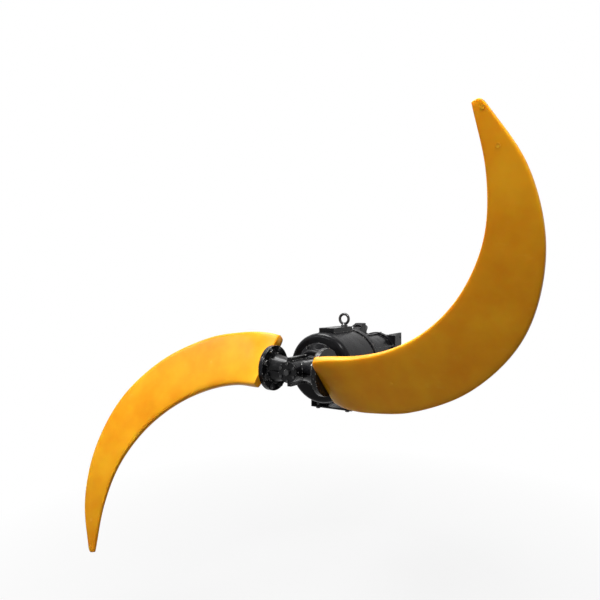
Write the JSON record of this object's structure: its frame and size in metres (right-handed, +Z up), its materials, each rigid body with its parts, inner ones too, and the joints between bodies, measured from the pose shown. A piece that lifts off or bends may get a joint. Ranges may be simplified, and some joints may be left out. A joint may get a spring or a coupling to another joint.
{
  "type": "submersible mixer",
  "caption": "Low-speed submersible mixer: sealed geared motor in a black guide-rail frame, driving a hub with long swept amber blades.",
  "frame": {"origin": "centre of the guide pin bore through the two cheeks of the bracket, midway between them", "axes": "+Z up, X along the shaft with the propeller towards -X, +Y along the guide pin bore"},
  "size_m": [1.4841, 1.9766, 1.6688],
  "materials": {
    "cast_paint": "glossy black paint on a cast skin",
    "plate_paint": "glossy black paint on steel plate",
    "hub_paint": "glossy black paint",
    "bolt_steel": "black painted steel",
    "bearing_steel": "ground steel",
    "seal_face": "lapped carbide ring",
    "seal_metal": "dark machined metal",
    "seal_rubber": "black rubber lip",
    "core_steel": "stacked sheet steel",
    "winding_copper": "varnished copper wire",
    "gland_metal": "dark painted brass gland",
    "lead_rubber": "black rubber sheath",
    "pad_nylon": "dark nylon",
    "shaft_steel": "turned steel",
    "gear_steel": "oiled hardened steel",
    "blade_polyurethane": "satin amber polyurethane"
  },
  "bodies": {
    "drive_unit": {"gearbox_shell": "cast_paint", "nose_cover": "cast_paint", "motor_adapter": "cast_paint", "motor_shell": "cast_paint", "motor_end_cover": "cast_paint", "top_pad": "cast_paint", "cable_inlet": "cast_paint", "rear_plate": "plate_paint", "bracket_plate": "plate_paint", "near_cheek": "plate_paint", "far_cheek": "plate_paint", "near_rail": "plate_paint", "far_rail": "plate_paint", "near_saddle": "plate_paint", "far_saddle": "plate_paint", "near_gusset": "plate_paint", "far_gusset": "plate_paint", "base_plate": "plate_paint", "nose_bolts": "bolt_steel", "flange_bolts": "bolt_steel", "motor_bolts": "bolt_steel", "bracket_bolts": "bolt_steel", "pad_bolts": "bolt_steel", "base_bolts": "bolt_steel", "foot_bolts": "bolt_steel", "oil_plug": "bolt_steel", "eye_bolt": "bolt_steel", "seal_seat": "seal_face", "shaft_seal": "seal_rubber", "stator_core": "core_steel", "stator_windings": "winding_copper", "inlet_gland": "gland_metal", "rear_gland": "gland_metal", "motor_lead": "lead_rubber", "guide_pads": "pad_nylon", "output_bearing_outers": "bearing_steel", "output_bearing_balls": "bearing_steel", "countershaft_bearing_outers": "bearing_steel", "countershaft_bearing_balls": "bearing_steel", "motor_bearing_outers": "bearing_steel", "motor_bearing_balls": "bearing_steel"},
    "propeller": {"hub": "hub_paint", "hub_cap": "hub_paint", "cap_bolts": "bolt_steel", "hub_key": "shaft_steel", "seal_collar": "seal_metal", "near_flange": "hub_paint", "far_flange": "hub_paint", "blade_bolts": "bolt_steel", "near_blade": "blade_polyurethane", "far_blade": "blade_polyurethane", "output_shaft": "shaft_steel", "output_gear": "gear_steel", "output_bearing_inners": "bearing_steel"},
    "countershaft": {"countershaft": "shaft_steel", "intermediate_gear": "gear_steel", "countershaft_bearing_inners": "bearing_steel"},
    "rotor": {"motor_shaft": "shaft_steel", "rotor_core": "core_steel", "motor_bearing_inners": "bearing_steel"}
  },
  "joints": [
    {"name": "propeller_spin", "type": "hinge", "parent": "drive_unit", "child": "propeller", "pos_m": [-1.026, 0, -0.07], "axis": [1, 0, 0], "continuous": true},
    {"name": "countershaft_spin", "type": "hinge", "parent": "drive_unit", "child": "countershaft", "pos_m": [-1.026, 0, -0.154], "axis": [1, 0, 0], "continuous": true},
    {"name": "rotor_spin", "type": "hinge", "parent": "drive_unit", "child": "rotor", "pos_m": [-1.026, 0, -0.07], "axis": [1, 0, 0], "continuous": true}
  ],
  "couplings": [
    {"joint": "countershaft_spin", "follows": "propeller_spin", "ratio": -4.0909},
    {"joint": "rotor_spin", "follows": "propeller_spin", "ratio": 20.455}
  ]
}
